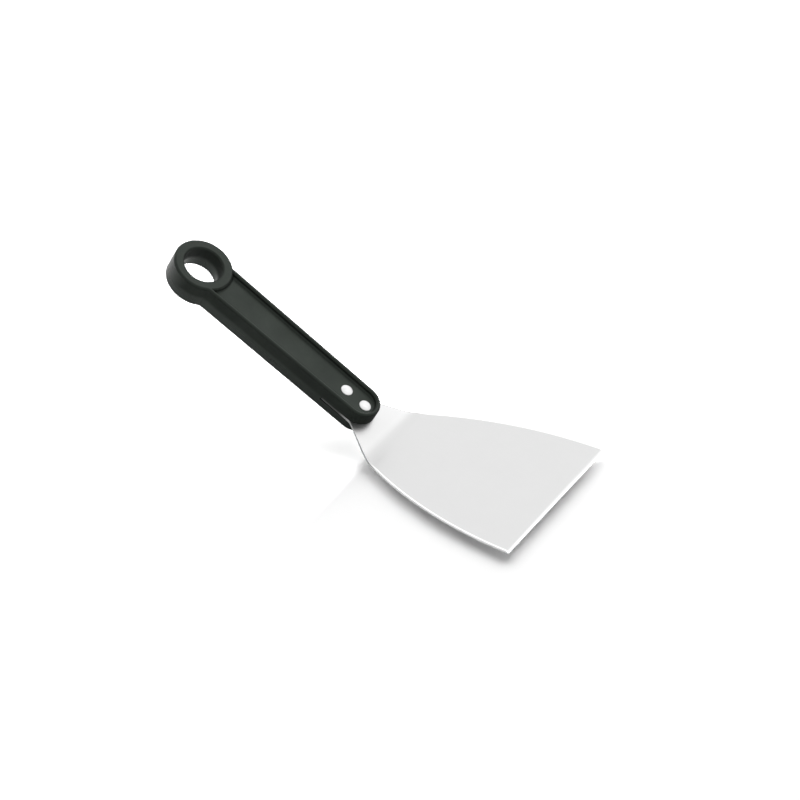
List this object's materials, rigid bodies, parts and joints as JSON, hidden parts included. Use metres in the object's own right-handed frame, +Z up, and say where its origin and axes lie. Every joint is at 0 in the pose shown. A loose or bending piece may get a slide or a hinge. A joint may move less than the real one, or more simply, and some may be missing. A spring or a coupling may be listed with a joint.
{
  "type": "bench scraper",
  "caption": "Cranked bench scraper: flared steel blade with a straight ground front edge, riveted into a recessed black plastic handle that ends in a hanging ring.",
  "frame": {"origin": "centre of the blade's flat sole, half way between the bend and the front edge", "axes": "+X towards the straight front edge, +Y across the blade, +Z up, away from the sole; the handle rises towards -X"},
  "size_m": [0.2407, 0.1, 0.0769],
  "materials": {
    "blade": "satin brushed stainless steel",
    "handle": "black polypropylene, satin moulded surface",
    "rivet": "bright turned head"
  },
  "bodies": {
    "root": {"blade": "blade", "handle": "handle", "front_rivet_sleeve": "rivet", "front_rivet_pin": "rivet", "rear_rivet_sleeve": "rivet", "rear_rivet_pin": "rivet"}
  },
  "joints": []
}
